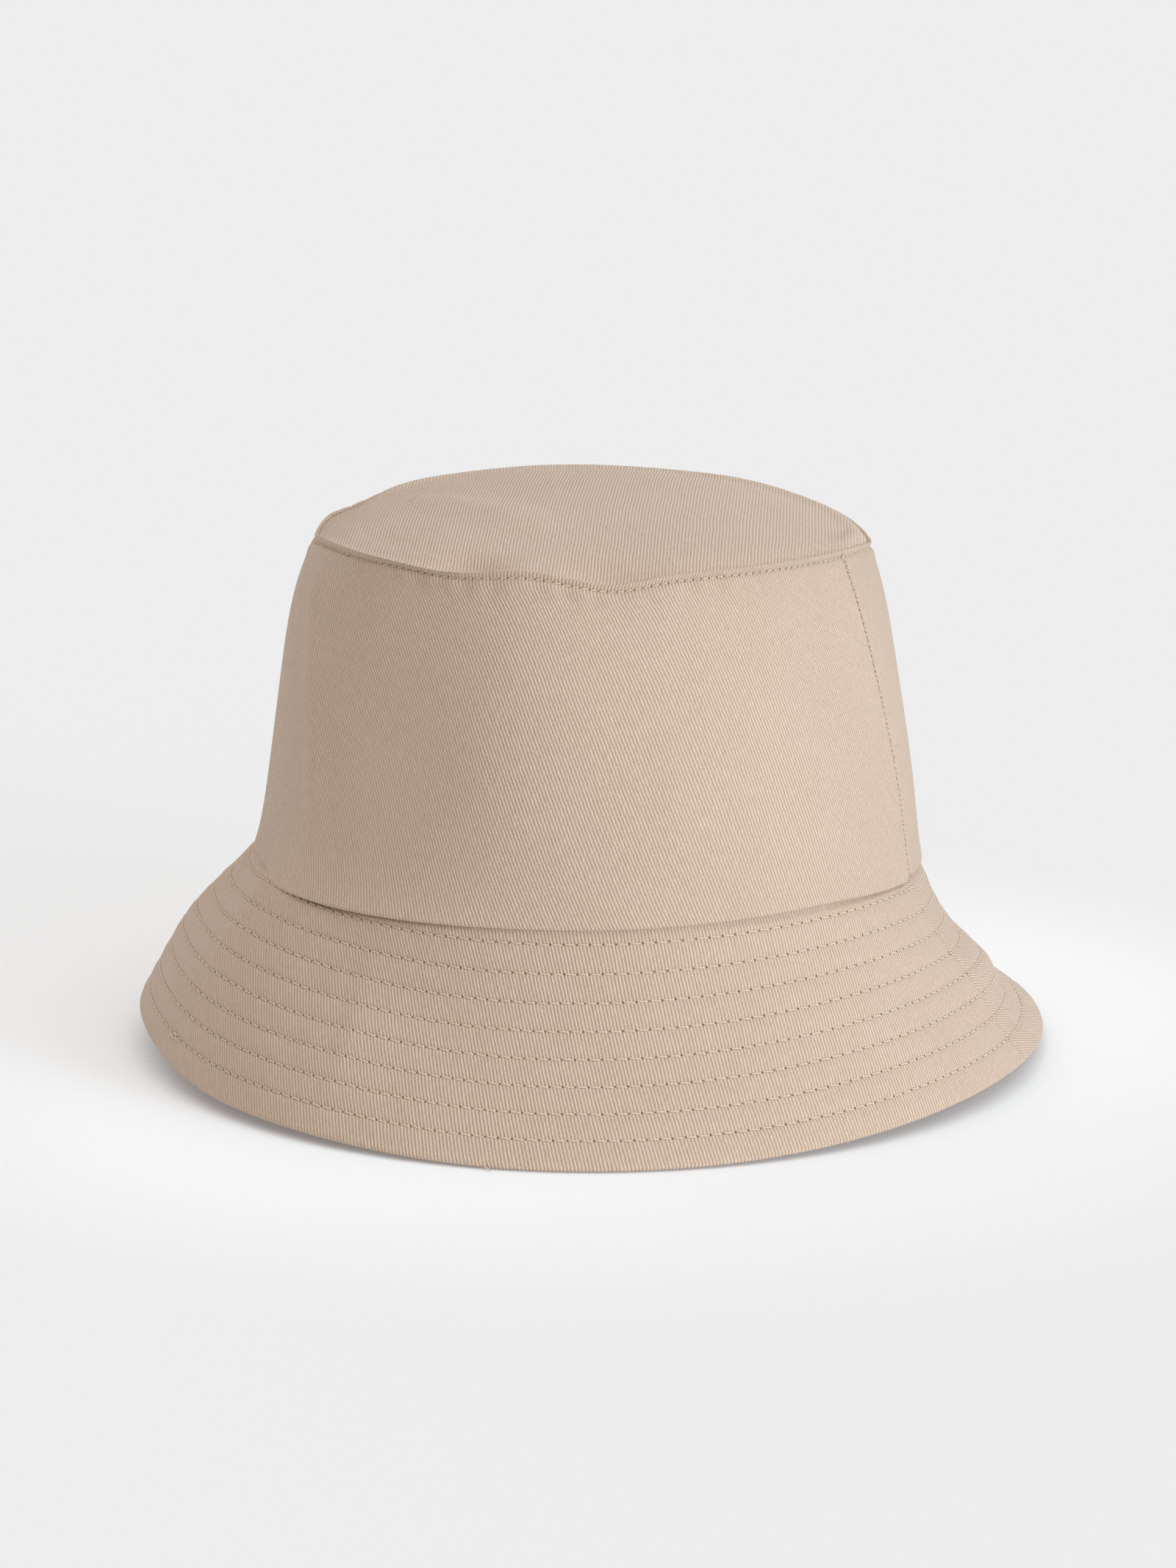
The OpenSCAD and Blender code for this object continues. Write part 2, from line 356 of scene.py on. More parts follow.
def tip_relief(q, angle):
    """Dents and creases of the tip: a valley behind the seam, hollows at the front, a crease at the left."""
    from_seam = (1 - q) * TIP_R
    x = q * np.cos(angle)
    y = q * np.sin(angle)
    valley = -0.7 * bell(from_seam, 2.0, 2.6) + 0.7 * bell(0, 2.0, 2.6)
    dent = -2.8 * near(angle, 268, 6) * bell(from_seam, 5, 4.5)
    hollow = -0.9 * near(angle, 240, 16) * bell(from_seam, 9, 6)
    crease_run = smooth(x, -0.78, -0.5) * (1 - smooth(x, -0.15, 0.15))
    crease = 1.2 * bell(y + 0.27 + 0.45 * (x + 0.42), 0, 0.12) * crease_run
    notch = -2.0 * near(angle, 190, 4) * bell(from_seam, 4, 3.5)
    swell = 0.5 * ripple(x * 3.1, y * 3.1, 0.9) * (1 - q ** 6)
    shade = -1.4 * near(angle, 294, 8) * bell(from_seam, 6, 5)
    behind = 2.0 * bell(from_seam, 2.6, 3.2) * smooth(y, -0.05, 0.22) * (1 - q ** 90)
    return (valley + dent + hollow + swell + shade + notch) * (1 - q ** 30) + behind + crease


# ---------------------------------------------------------------- meshes


def make(name, points, faces, body="hat", slot=None, material=None, layers=None):
    """A smooth mesh from points in millimetres and arrays of faces, each array with one corner count."""
    mesh = bpy.data.meshes.new(name)
    corners = np.concatenate([np.asarray(f).ravel() for f in faces]).astype(np.int32)
    sizes = np.concatenate([np.full(len(f), np.asarray(f).shape[1]) for f in faces])
    starts = np.concatenate([[0], np.cumsum(sizes)[:-1]]).astype(np.int32)
    mesh.vertices.add(len(points))
    mesh.vertices.foreach_set("co", (np.asarray(points, float) * MM).astype(np.float32).ravel())
    mesh.loops.add(len(corners))
    mesh.loops.foreach_set("vertex_index", corners)
    mesh.polygons.add(len(sizes))
    mesh.polygons.foreach_set("loop_start", starts)
    mesh.update(calc_edges=True)
    mesh.validate()
    for layer, values in (layers or {}).items():
        attribute = mesh.attributes.new(layer, "FLOAT_VECTOR", "POINT")
        attribute.data.foreach_set("vector", np.asarray(values, np.float32).ravel())
    mesh.polygons.foreach_set("use_smooth", np.ones(len(sizes), bool))
    piece = bpy.data.objects.new(name, mesh)
    bpy.context.scene.collection.objects.link(piece)
    if material:
        mesh.materials.append(material)
    if body:
        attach(piece, body)
    return piece


def grid_faces(rows, columns, ring_rows=False, ring_columns=False, first=0):
    """Quads over a grid of points, closed into a ring along either direction if asked."""
    i = np.arange(rows if ring_rows else rows - 1)[:, None]
    j = np.arange(columns if ring_columns else columns - 1)[None, :]
    i2 = (i + 1) % rows
    j2 = (j + 1) % columns
    corners = [i * columns + j, i * columns + j2, i2 * columns + j2, i2 * columns + j]
    corners = [np.broadcast_to(c, (i.shape[0], j.shape[1])) for c in corners]
    return first + np.stack(corners, -1).reshape(-1, 4)


def strip(name, points, closed=False, layers=None, **looks):
    """A solid swept round the hat: points is (section, angles, 3), and the section is a closed loop."""
    rows, columns = points.shape[:2]
    faces = [grid_faces(rows, columns, ring_rows=True, ring_columns=closed)]
    if not closed:
        start = np.arange(rows) * columns
        faces.append(start[None, :])
        faces.append((start + columns - 1)[::-1][None, :])
    flat = {key: value.reshape(-1, 3) for key, value in (layers or {}).items()}
    piece = make(name, points.reshape(-1, 3), faces, layers=flat, **looks)
    return outward(piece)


def outward(piece):
    """Turns the faces of a closed mesh so that they all look out."""
    mesh = piece.data
    points = np.empty(len(mesh.vertices) * 3)
    mesh.vertices.foreach_get("co", points)
    points = points.reshape(-1, 3)
    mesh.calc_loop_triangles()
    corners = np.empty(len(mesh.loop_triangles) * 3, np.int32)
    mesh.loop_triangles.foreach_get("vertices", corners)
    a, b, c = (points[corners.reshape(-1, 3)[:, k]] for k in range(3))
    if np.einsum("ij,ij->i", a, np.cross(b, c)).sum() < 0:
        mesh.flip_normals()
    return piece


# Cloth coordinates, in millimetres: across the cloth and along its warp, seen from the face side

WARP_LEAN = math.radians(25)  # the twill lines lean this far left of the warp
BRIM_TURN = 0.40  # how much the warp turns round the brim, as a share
BRIM_BIAS = math.radians(4.5)  # the brim's front is cut this far off the warp
BRIM_BACK_BIAS = math.radians(-12)  # and so is its back
WALL_APEX = CROWN_R * WALL_LENGTH / (CROWN_R - TIP_R)


def wall_weave(t, angle, middle):
    reach = WALL_APEX - t * WALL_LENGTH
    turn = (angle - middle) * CROWN_R / WALL_APEX
    pulled = np.maximum((t - TIP_STITCH_T) * WALL_LENGTH + 6, 0) ** 2 / 12 * math.tan(WARP_LEAN)
    across = reach * np.sin(turn) - pulled
    return np.stack(np.broadcast_arrays(across, WALL_APEX - reach * np.cos(turn), 0.0), -1)


def brim_weave(s, angle, middle):
    reach = NECK_R / BRIM_TURN + s
    turn = (angle - middle) * BRIM_TURN + (BRIM_BIAS if middle > math.pi else BRIM_BACK_BIAS)
    return np.stack(np.broadcast_arrays(reach * np.sin(turn), -reach * np.cos(turn), 0.0), -1)


def brim_needle(s, angle):
    """Stitches counted along the nearest row, the distance from that row, and 1 where there are rows."""
    nearest = np.clip(np.rint((s - FIRST_ROW) / ROW_PITCH), 0, ROWS - 1)
    count = 0.0 * s * angle
    for i in range(ROWS):
        here = nearest == i
        count = np.where(here, stitch_count(i) * row_phase(angle, i) / (2 * math.pi), count)
    away = np.abs(s - FIRST_ROW - nearest * ROW_PITCH) + 0.0 * angle
    return np.stack(np.broadcast_arrays(count, away, 1.0), -1)


def wall_needle(t, angle):
    count = round(2 * math.pi * TIP_ROW_R / TIP_STITCH) * angle / (2 * math.pi)
    away = np.abs(t - TIP_STITCH_T) * WALL_LENGTH
    return np.stack(np.broadcast_arrays(count, away, 1.0), -1)


# ---------------------------------------------------------------- materials


def linear(red, green, blue):
    """A display colour of 0 to 255 as linear light."""
    shares = [c / 255 for c in (red, green, blue)]
    return tuple(c / 12.92 if c <= 0.04045 else ((c + 0.055) / 1.055) ** 2.4 for c in shares) + (1.0,)


class Looks:
    """One material's nodes. Each call adds a node and gives the socket that it ends in."""

    def __init__(self, name, **surface):
        self.material = bpy.data.materials.new(name)
        self.material.use_nodes = True
        self.tree = self.material.node_tree
        self.tree.nodes.clear()
        self.shader = self.tree.nodes.new("ShaderNodeBsdfPrincipled")
        output = self.tree.nodes.new("ShaderNodeOutputMaterial")
        self.tree.links.new(self.shader.outputs["BSDF"], output.inputs["Surface"])
        for socket, value in surface.items():
            self.set(socket.replace("_", " "), value)

    def set(self, socket, value):
        self.put(self.shader.inputs[socket], value)

    def put(self, socket, value):
        if isinstance(value, bpy.types.NodeSocket):
            self.tree.links.new(value, socket)
        else:
            socket.default_value = value

    def times(self, value, factor):
        return self.math("MULTIPLY", value, factor)

    def math(self, operation, *values, clamp=False):
        node = self.tree.nodes.new("ShaderNodeMath")
        node.operation = operation
        node.use_clamp = clamp
        for socket, value in zip(node.inputs, values):
            self.put(socket, value)
        return node.outputs[0]

    def attribute(self, name):
        """The three numbers of a mesh attribute."""
        node = self.tree.nodes.new("ShaderNodeAttribute")
        node.attribute_name = name
        parts = self.tree.nodes.new("ShaderNodeSeparateXYZ")
        self.tree.links.new(node.outputs["Vector"], parts.inputs[0])
        return list(parts.outputs)

    def vector(self, x, y, z=0.0):
        node = self.tree.nodes.new("ShaderNodeCombineXYZ")
        for socket, value in zip(node.inputs, (x, y, z)):
            self.put(socket, value)
        return node.outputs[0]

    def noise(self, vector, scale, detail=2.0):
        node = self.tree.nodes.new("ShaderNodeTexNoise")
        self.put(node.inputs["Vector"], vector)
        node.inputs["Scale"].default_value = scale
        node.inputs["Detail"].default_value = detail
        return node.outputs["Fac"]

    def from_axis(self):
        """The distance in metres from the origin, in the object's own frame."""
        place = self.tree.nodes.new("ShaderNodeTexCoord")
        length = self.tree.nodes.new("ShaderNodeVectorMath")
        length.operation = "LENGTH"
        self.tree.links.new(place.outputs["Object"], length.inputs[0])
        return length.outputs["Value"]

    def ramp(self, value, low, high, to_low=0.0, to_high=1.0):
        node = self.tree.nodes.new("ShaderNodeMapRange")
        node.interpolation_type = "SMOOTHSTEP"
        for socket, setting in zip(node.inputs, (value, low, high, to_low, to_high)):
            self.put(socket, setting)
        return node.outputs[0]

    def mix(self, share, a, b, blend="MIX"):
        node = self.tree.nodes.new("ShaderNodeMix")
        node.data_type = "RGBA"
        node.blend_type = blend
        self.put(node.inputs["Factor"], share)
        for socket, value in ((node.inputs[6], a), (node.inputs[7], b)):
            self.put(socket, value)
        return node.outputs[2]

    def wave(self, phase):
        """0 to 1 and back with each whole step of phase."""
        turned_phase = self.math("MULTIPLY", phase, 2 * math.pi)
        return self.math("MULTIPLY_ADD", self.math("COSINE", turned_phase), 0.5, 0.5)

    def bump(self, height, distance, strength=1.0):
        node = self.tree.nodes.new("ShaderNodeBump")
        node.inputs["Distance"].default_value = distance
        node.inputs["Strength"].default_value = strength
        self.put(node.inputs["Height"], height)
        self.set("Normal", node.outputs["Normal"])


def twill(name, ridge, valley, blotch):
    """Cotton twill: leaning ridges of warp floats, uneven yarns, and needle holes where there are rows,
    darkened with painted shade.
    """
    looks = Looks(name, Roughness=0.88, Specular_IOR_Level=0.25, Sheen_Weight=0.3, Sheen_Roughness=0.45)
    across, along, _ = looks.attribute("weave")
    place = looks.vector(across, along)
    bend = looks.math("MULTIPLY_ADD", looks.noise(place, 0.04), 1.0, -0.5)
    shiver = looks.math("MULTIPLY_ADD", looks.noise(place, 1.1), 0.40, -0.20)
    lean_x = looks.times(across, math.cos(WARP_LEAN) / RIDGE)
    lean_y = looks.math("MULTIPLY_ADD", along, math.sin(WARP_LEAN) / RIDGE, lean_x)
    phase = looks.math("ADD", looks.math("ADD", lean_y, bend), shiver)
    ridges = looks.math("POWER", looks.wave(phase), 0.75)
    picks = looks.math("MULTIPLY_ADD", along, 1 / PICK, looks.times(phase, 0.5))
    floats = looks.wave(picks)
    yarns = looks.noise(looks.vector(looks.times(across, 3.2),
                                     looks.times(along, 0.35)), 1.0, 3.0)
    relief = looks.times(ridges, looks.math("MULTIPLY_ADD", floats, 0.45, 0.55))
    fuzz = looks.noise(place, 2.6, 2.0)
    relief = looks.math("ADD", relief, looks.math("MULTIPLY_ADD", yarns, 0.5, -0.25))
    relief = looks.math("ADD", relief, looks.math("MULTIPLY_ADD", fuzz, 0.8, -0.40))
    colour = looks.mix(looks.ramp(relief, 0.05, 0.85), valley, ridge)
    patches = looks.ramp(looks.noise(place, 0.045, 3.0), 0.35, 0.65)
    colour = looks.mix(looks.times(patches, 0.13), colour, blotch, "MULTIPLY")
    streaks = looks.math("MULTIPLY_ADD", yarns, 0.22, 0.89)
    colour = looks.mix(1.0, colour, looks.vector(streaks, streaks, streaks), "MULTIPLY")
    count, away, stitched = looks.attribute("needle")
    whole = looks.math("SUBTRACT", looks.math("FRACT", looks.math("ADD", count, 0.5)), 0.5)
    step = looks.times(whole, STITCH)
    distance = looks.math("SQRT", looks.math("ADD", looks.math("POWER", step, 2.0),
                                             looks.math("POWER", away, 2.0)))
    hole_and_shade = looks.times(looks.ramp(distance, 0.16, 0.42, 1.0, 0.0), stitched)
    # Painted shade: each needle hole is darkened towards dark brown, standing in for the shadow inside it.
    colour = looks.mix(looks.times(hole_and_shade, 0.66), colour, linear(88, 58, 40))
    looks.set("Base Color", colour)
    looks.bump(looks.math("SUBTRACT", relief, looks.times(hole_and_shade, 2.0)), 0.0002, 1.0)
    return looks.material




def thread_looks(name, colour, shade):
    looks = Looks(name, Roughness=0.62, Specular_IOR_Level=0.35, Sheen_Weight=0.2, Sheen_Roughness=0.4)
    along, around, _ = looks.attribute("twist")
    plies = looks.wave(looks.math("ADD", looks.times(along, 1.9), around))
    looks.set("Base Color", looks.mix(looks.ramp(plies, 0.1, 0.9), shade, colour))
    looks.bump(plies, 0.00005, 0.7)
    return looks.material


def plain_weave(name, colour, shade, pitch=0.42, roughness=0.9):
    looks = Looks(name, Roughness=roughness, Specular_IOR_Level=0.25, Sheen_Weight=0.1, Sheen_Roughness=0.5)
    across, along, _ = looks.attribute("weave")
    place = looks.vector(across, along)
    warps = looks.wave(looks.times(across, 0.5 / pitch))
    wefts = looks.wave(looks.times(along, 0.5 / pitch))
    over = looks.math("ABSOLUTE", looks.math("SUBTRACT", warps, wefts))
    slubs = looks.noise(looks.vector(looks.times(across, 0.3), looks.times(along, 2.2)), 1.0, 3.0)
    relief = looks.math("ADD", over, looks.times(slubs, 0.6))
    soft = looks.times(looks.noise(place, 0.05, 3.0), 0.35)
    colour = looks.mix(looks.ramp(relief, 0.1, 1.3), shade, colour)
    looks.set("Base Color", looks.mix(soft, colour, shade))
    looks.bump(relief, 0.00006, 0.6)
    return looks.material


def herringbone(name, colour, shade):
    """Twill tape whose lines turn back every few millimetres."""
    looks = Looks(name, Roughness=0.82, Specular_IOR_Level=0.3, Sheen_Weight=0.15, Sheen_Roughness=0.5)
    across, along, _ = looks.attribute("weave")
    zigzag = looks.math("PINGPONG", along, 5.0)
    lines = looks.wave(looks.math("DIVIDE", looks.math("ADD", across, zigzag), 1.05))
    yarns = looks.wave(looks.math("DIVIDE", along, 0.5))
    slubs = looks.noise(looks.vector(looks.times(across, 0.4), looks.times(along, 2.5)), 1.0, 3.0)
    relief = looks.math("ADD", looks.times(lines, looks.math("MULTIPLY_ADD", yarns, 0.3, 0.7)),
                        looks.times(slubs, 0.35))
    looks.set("Base Color", looks.mix(looks.ramp(relief, 0.1, 1.1), shade, colour))
    looks.bump(relief, 0.00012, 0.8)
    return looks.material


def satin(name, colour, shade):
    """Woven label ribbon: fine shiny cross ribs and no lettering."""
    looks = Looks(name, Roughness=0.45, Specular_IOR_Level=0.5, Sheen_Weight=0.25, Sheen_Roughness=0.3)
    across, along, _ = looks.attribute("weave")
    ribs = looks.wave(looks.math("DIVIDE", along, 0.28))
    yarns = looks.noise(looks.vector(looks.times(across, 5.0), looks.times(along, 0.4)), 1.0, 2.0)
    relief = looks.math("ADD", ribs, yarns)
    looks.set("Base Color", looks.mix(looks.ramp(relief, 0.2, 1.6), shade, colour))
    looks.bump(relief, 0.00003, 0.5)
    return looks.material


def felt(name, colour, shade):
    looks = Looks(name, Roughness=0.95, Specular_IOR_Level=0.2, Sheen_Weight=0.1, Sheen_Roughness=0.6)
    across, along, _ = looks.attribute("weave")
    fibres = looks.noise(looks.vector(across, along), 1.6, 6.0)
    looks.set("Base Color", looks.mix(looks.ramp(fibres, 0.3, 0.7), shade, colour))
    looks.bump(fibres, 0.0001, 0.7)
    return looks.material


face_twill = twill("stone_twill", linear(218, 195, 172), linear(187, 159, 137), linear(246, 236, 230))
thread_pale = thread_looks("stone_thread", linear(234, 218, 195), linear(202, 181, 154))
# The side seam's thread is real, but its dark brown is painted shade, standing in for the shadow down the
# seam's ditch.
ditch_thread_shaded = thread_looks("seam_thread_painted_shade", linear(158, 120, 86), linear(106, 76, 52))
lining_cloth = plain_weave("lining_cotton", linear(222, 209, 190), linear(190, 174, 152))
tape = herringbone("sweatband_twill_tape", linear(222, 206, 184), linear(180, 160, 136))
label_satin = satin("blank_label_satin", linear(244, 242, 238), linear(214, 210, 204))
interlining = felt("brim_interlining", linear(232, 228, 218), linear(206, 201, 190))

# ---------------------------------------------------------------- the cloth pieces


def panel_angles(span, columns, first=0.0004):
    """Angles across a panel, close together at its side seams, where the cloth turns in."""
    inner = np.linspace(span[0] + 0.012, span[1] - 0.012, columns)
    ends = first + np.array([0, 0.0008, 0.0022, 0.0044, 0.0071])
    return np.concatenate([span[0] + ends, inner, span[1] - ends[::-1]])


def end_roll(angles):
    """How thick a panel is near its ends, as a share: its cut ends roll over to nothing."""
    from_end = np.minimum(angles - angles[0], angles[-1] - angles) + 0.0001
    return np.sqrt(np.clip(1 - (1 - np.clip(from_end / 0.005, 0, 1)) ** 2, 0.06, 1))


def shell(surface, places, depths, angles, thickness_middle):
    """Points of a cloth panel whose section runs through (place, depth) pairs."""
    share = end_roll(angles)[None, :]
    depth = thickness_middle + (np.asarray(depths)[:, None] - thickness_middle) * share
    points, _ = surface(np.asarray(places)[:, None], angles[None, :], depth)
    return points


def fold(middle, radius, start, end, count, unit=1.0):
    """Places and depths round a turned edge: angles in degrees, 0 along the cloth and 90 deeper."""
    turn = np.radians(np.linspace(start, end, count))
    return middle[0] + radius * np.cos(turn) / unit, middle[1] + radius * np.sin(turn)


def wall_places():
    """Distances up the wall, close together at the welt and the foot."""
    stitch = TIP_STITCH_T
    fine = np.array([-2.6, -1.9, -1.3, -0.8, -0.45, -0.2, 0, 0.2, 0.45, 0.8, 1.2, 1.7]) / WALL_LENGTH
    foot = np.array([1.4, 1.8, 2.3, 2.9, 3.8, 5.0]) / WALL_LENGTH
    middle = np.linspace(0.07, stitch + fine[0] - 0.012, 66)
    return np.concatenate([foot, middle, stitch + fine, [0.9925]])


def crown_panel(name, span, node):
    angles = panel_angles(span, 350, 0.0020)
    outer = wall_places()[::-1]
    hem = 0.7
    roll_t, roll_d = fold((1.4 / WALL_LENGTH, hem), hem, -90, -270, 11, WALL_LENGTH)
    inner = np.array([0.03, 0.06, 0.115, 0.125, 0.3, 0.5, 0.7, 0.86, 0.87, 0.95, 0.985])
    inner_d = np.array([1.3, 1.25, 1.25, 0.7, 0.6, 0.6, 0.6, 0.6, 1.2, 1.2, 1.2])
    ridge_t, ridge_d = fold((0.994, 0.6), 0.6, 90, -90, 9, WALL_LENGTH)
    places = np.concatenate([outer, roll_t[1:-1], inner, ridge_t[:-1]])
    depths = np.concatenate([0 * outer, roll_d[1:-1], inner_d, ridge_d[:-1]])
    points = shell(wall, places, depths, angles, 0.3)
    layers = {
        "weave": wall_weave(places[:, None], angles[None, :], sum(span) / 2),
        "needle": wall_needle(places[:, None], angles[None, :]),
    }
    piece = strip(name, points, layers=layers, slot="twill", material=face_twill)
    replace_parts(piece, node)


def brim_places(start, end):
    """Distances down the brim, close together at each row of stitches."""
    fine = np.array([-2.6, -1.8, -1.25, -0.8, -0.4, 0, 0.4, 0.8, 1.25, 1.8, 2.6, 3.85])
    rows = np.concatenate([row_at(i) + fine for i in range(ROWS)])
    rest = np.array([start, start * 0.5, 0.0, end - 2.6, end - 1.6, end - 0.8, end])
    places = np.unique(np.concatenate([rows, rest]).round(3))
    return places[(places >= start) & (places <= end)]


def brim_shell(name, span, node, top):
    """Half of the brim's top or under cloth, whose edges are turned in to meet at the rim."""
    angles = panel_angles(span, 470)
    half = BRIM_T / 2
    if top:
        outer = brim_places(-2.2, BRIM_W - half)
        start, finish, face = -90.0, 18.0, 0.0
    else:
        outer = brim_places(0.4, BRIM_W - half)
        start, finish, face = 90.0, 22.0, BRIM_T
    turn_t, turn_d = fold((BRIM_W - half, half), half, start, finish, 9)
    back_t, back_d = fold((BRIM_W - half, half), half - 0.45, finish, start, 7)
    inner = np.linspace(BRIM_W - half, outer[0], 24)
    inner_d = np.full(24, CLOTH if top else BRIM_T - CLOTH)
    outer_d = np.full(len(outer), face)
    places = np.concatenate([outer, turn_t[1:], back_t, inner[1:]])
    depths = np.concatenate([outer_d, turn_d[1:], back_d, inner_d[1:]])
    middle = (face + inner_d[0]) / 2
    share = end_roll(angles)[None, :]
    depth = middle + (depths[:, None] - middle) * share
    sign = 1.0 if top else -0.7
    points, _ = brim(places[:, None], angles[None, :], depth, sign)
    layers = {
        "weave": brim_weave(places[:, None], angles[None, :], sum(span) / 2) * (1 if top else -1),
        "needle": brim_needle(places[:, None], angles[None, :]),
    }
    piece = strip(name, points, layers=layers, slot="twill", material=face_twill)
    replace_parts(piece, node)


def crown_top():
    """The tip: a disc of square rings, then round rings that turn down behind the wall's ridge."""
    rings = 76
    points = [np.zeros((1, 3))]
    points[0] = tip(np.array([0.0]), np.array([0.0]))[0]
    for k in range(1, rings + 1):
        q = np.full(8 * k, k / rings)
        angles = 2 * math.pi * np.arange(8 * k) / (8 * k)
        points.append(tip(q, angles)[0])
    edge = 2 * math.pi * np.arange(8 * rings) / (8 * rings)
    for t in (0.986, 0.980, 0.972, 0.962, 0.950):
        points.append(wall(np.full(8 * rings, t), edge, 1.35)[0])
    top = np.concatenate(points)
    bias = math.radians(6)
    across = top[:, 0] * math.cos(bias) - top[:, 1] * math.sin(bias)
    along = top[:, 0] * math.sin(bias) + top[:, 1] * math.cos(bias)
    flat = np.stack([across, along, 0 * across], -1)
    count = len(top)
    under = top - np.array([0, 0, CLOTH])
    scale = 1 - 0.9 / np.maximum(np.hypot(under[:, 0], under[:, 1]), 60)
    last = count - 6 * 8 * rings
    under[last:, :2] *= scale[last:, None]
    faces = disc_faces(rings)
    first = count - 6 * 8 * rings
    collar = grid_faces(6, 8 * rings, ring_columns=True, first=first)
    quads = np.concatenate([faces, collar])
    j = np.arange(8 * rings)
    rim = count - 8 * rings
    join = np.stack([rim + j, rim + (j + 1) % (8 * rings),
                     count + rim + (j + 1) % (8 * rings), count + rim + j], -1)
    piece = make("tip_cloth", np.concatenate([top, under]), [quads, quads[:, ::-1] + count, join],
                 slot="twill", material=face_twill,
                 layers={"weave": np.concatenate([flat, flat])})
    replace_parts(outward(piece), "crown_tip")


def disc_faces(rings):
    """Quads between rings of 8, 16, 24... points, laid out as a square grid with its middle at point 0."""
    n = rings
    index = np.zeros((2 * n + 1, 2 * n + 1), int)
    for a in range(-n, n + 1):
        for b in range(-n, n + 1):
            k = max(abs(a), abs(b))
            if k == 0:
                continue
            if a == k and b > -k:
                j = b if b >= 0 else 8 * k + b
            elif b == k:
                j = 2 * k - a
            elif a == -k:
                j = 4 * k - b
            else:
                j = 6 * k + a
            index[a + n, b + n] = 1 + 4 * k * (k - 1) + j % (8 * k)
    return np.stack([index[:-1, :-1], index[1:, :-1], index[1:, 1:], index[:-1, 1:]], -1).reshape(-1, 4)


crown_panel("crown_front_cloth", FRONT, "crown_front_panel")
crown_panel("crown_back_cloth", BACK, "crown_back_panel")
crown_top()
brim_shell("brim_top_front_cloth", FRONT, "brim_top_front", True)
brim_shell("brim_top_back_cloth", BACK, "brim_top_back", True)
brim_shell("brim_under_front_cloth", FRONT, "brim_under_front", False)
brim_shell("brim_under_back_cloth", BACK, "brim_under_back", False)


def stiffener(name, span, node):
    angles = panel_angles(span, 120)
    places = np.linspace(1.0, BRIM_W - 1.6, 40)
    places = np.concatenate([places, places[::-1]])
    depths = np.repeat([CLOTH + 0.05, BRIM_T - CLOTH - 0.05], 40)
    points, _ = brim(places[:, None], angles[None, :], depths[:, None] + 0 * angles[None, :], 0.6)
    weave = brim_weave(places[:, None], angles[None, :], sum(span) / 2)
    piece = strip(name, points, layers={"weave": weave}, slot="stiffener", material=interlining)
    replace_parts(piece, node)


stiffener("brim_interlining_front", FRONT, "brim_stiffener_front")
stiffener("brim_interlining_back", BACK, "brim_stiffener_back")


# ---------------------------------------------------------------- lining and sweatband


def lined(t, angle, depth):
    """The lining hangs a little looser than the wall."""
    slack = 0.45 * ring_ripple(angle, 9, t * 5, 3.1) * np.sin(np.clip(t, 0, 1) * math.pi)
    return wall(t, angle, depth + 0.35 + slack, relief=False)


def lining_panel(name, span, node):
    angles = panel_angles(span, 180)
    places = np.linspace(0.0, 0.985, 60)
    loop = np.concatenate([places, places[::-1]])
    depths = np.repeat([2.6, 2.9], 60)
    points = shell(lined, loop, depths, angles, 2.75)
    weave = wall_weave(loop[:, None], angles[None, :], sum(span) / 2)
    piece = strip(name, points, layers={"weave": weave}, slot="lining", material=lining_cloth)
    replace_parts(piece, node)


lining_panel("front_lining_cloth", FRONT, "front_lining")
lining_panel("back_lining_cloth", BACK, "back_lining")


def lining_top():
    rings = 36
    reach = 0.975
    points = [tip(np.array([0.0]), np.array([0.0]), 3.0)[0]]
    for k in range(1, rings + 1):
        q = np.full(8 * k, reach * k / rings)
        angles = 2 * math.pi * np.arange(8 * k) / (8 * k)
        sag = 3.0 + 0.5 * ripple(q * np.cos(angles) * 6, q * np.sin(angles) * 6, 4.2)
        points.append(tip(q, angles, sag, relief=False)[0])
    top = np.concatenate(points)
    under = top - np.array([0, 0, 0.3])
    count = len(top)
    quads = disc_faces(rings)
    rim = count - 8 * rings
    j = np.arange(8 * rings)
    join = np.stack([rim + j, rim + (j + 1) % (8 * rings),
                     count + rim + (j + 1) % (8 * rings), count + rim + j], -1)
    flat = np.stack([top[:, 0], top[:, 1], 0 * top[:, 0]], -1)
    piece = make("tip_lining_cloth", np.concatenate([top, under]), [quads, quads[:, ::-1] + count, join],
                 slot="lining", material=lining_cloth, layers={"weave": np.concatenate([flat, flat])})
    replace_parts(outward(piece), "tip_lining")


lining_top()

BAND_DEPTH = 3.35
BAND_T = 0.8


def band_surface(t, angle, depth):
    return wall(t, angle, depth, relief=False)


def sweatband():
    """One strip of tape with its ends butted at the back, and soft selvedges."""
    gap = 0.003
    angles = np.linspace(math.pi / 2 + gap, math.pi / 2 + 2 * math.pi - gap, 720)
    height = BAND_SHARE * 0.985
    places = np.linspace(0.004, height, 26)
    loop = np.concatenate([places, [height + 0.003], places[::-1], [0.001]])
    face = BAND_DEPTH + BAND_T
    depths = np.concatenate([np.full(26, BAND_DEPTH), [BAND_DEPTH + BAND_T / 2], np.full(26, face),
                             [BAND_DEPTH + BAND_T / 2]])
    pucker = 0.10 * np.cos(angles * 70)[None, :] * bell(loop, height, 0.06)[:, None]
    points, _ = band_surface(loop[:, None], angles[None, :], depths[:, None] + pucker)
    run = (angles - math.pi / 2) * CROWN_R
    weave = np.stack(np.broadcast_arrays(loop[:, None] * WALL_LENGTH, run[None, :], 0.0), -1)
    piece = strip("sweatband_tape", points, layers={"weave": weave}, slot="sweatband", material=tape)
    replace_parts(piece, "sweatband")


sweatband()

# ---------------------------------------------------------------- stitches


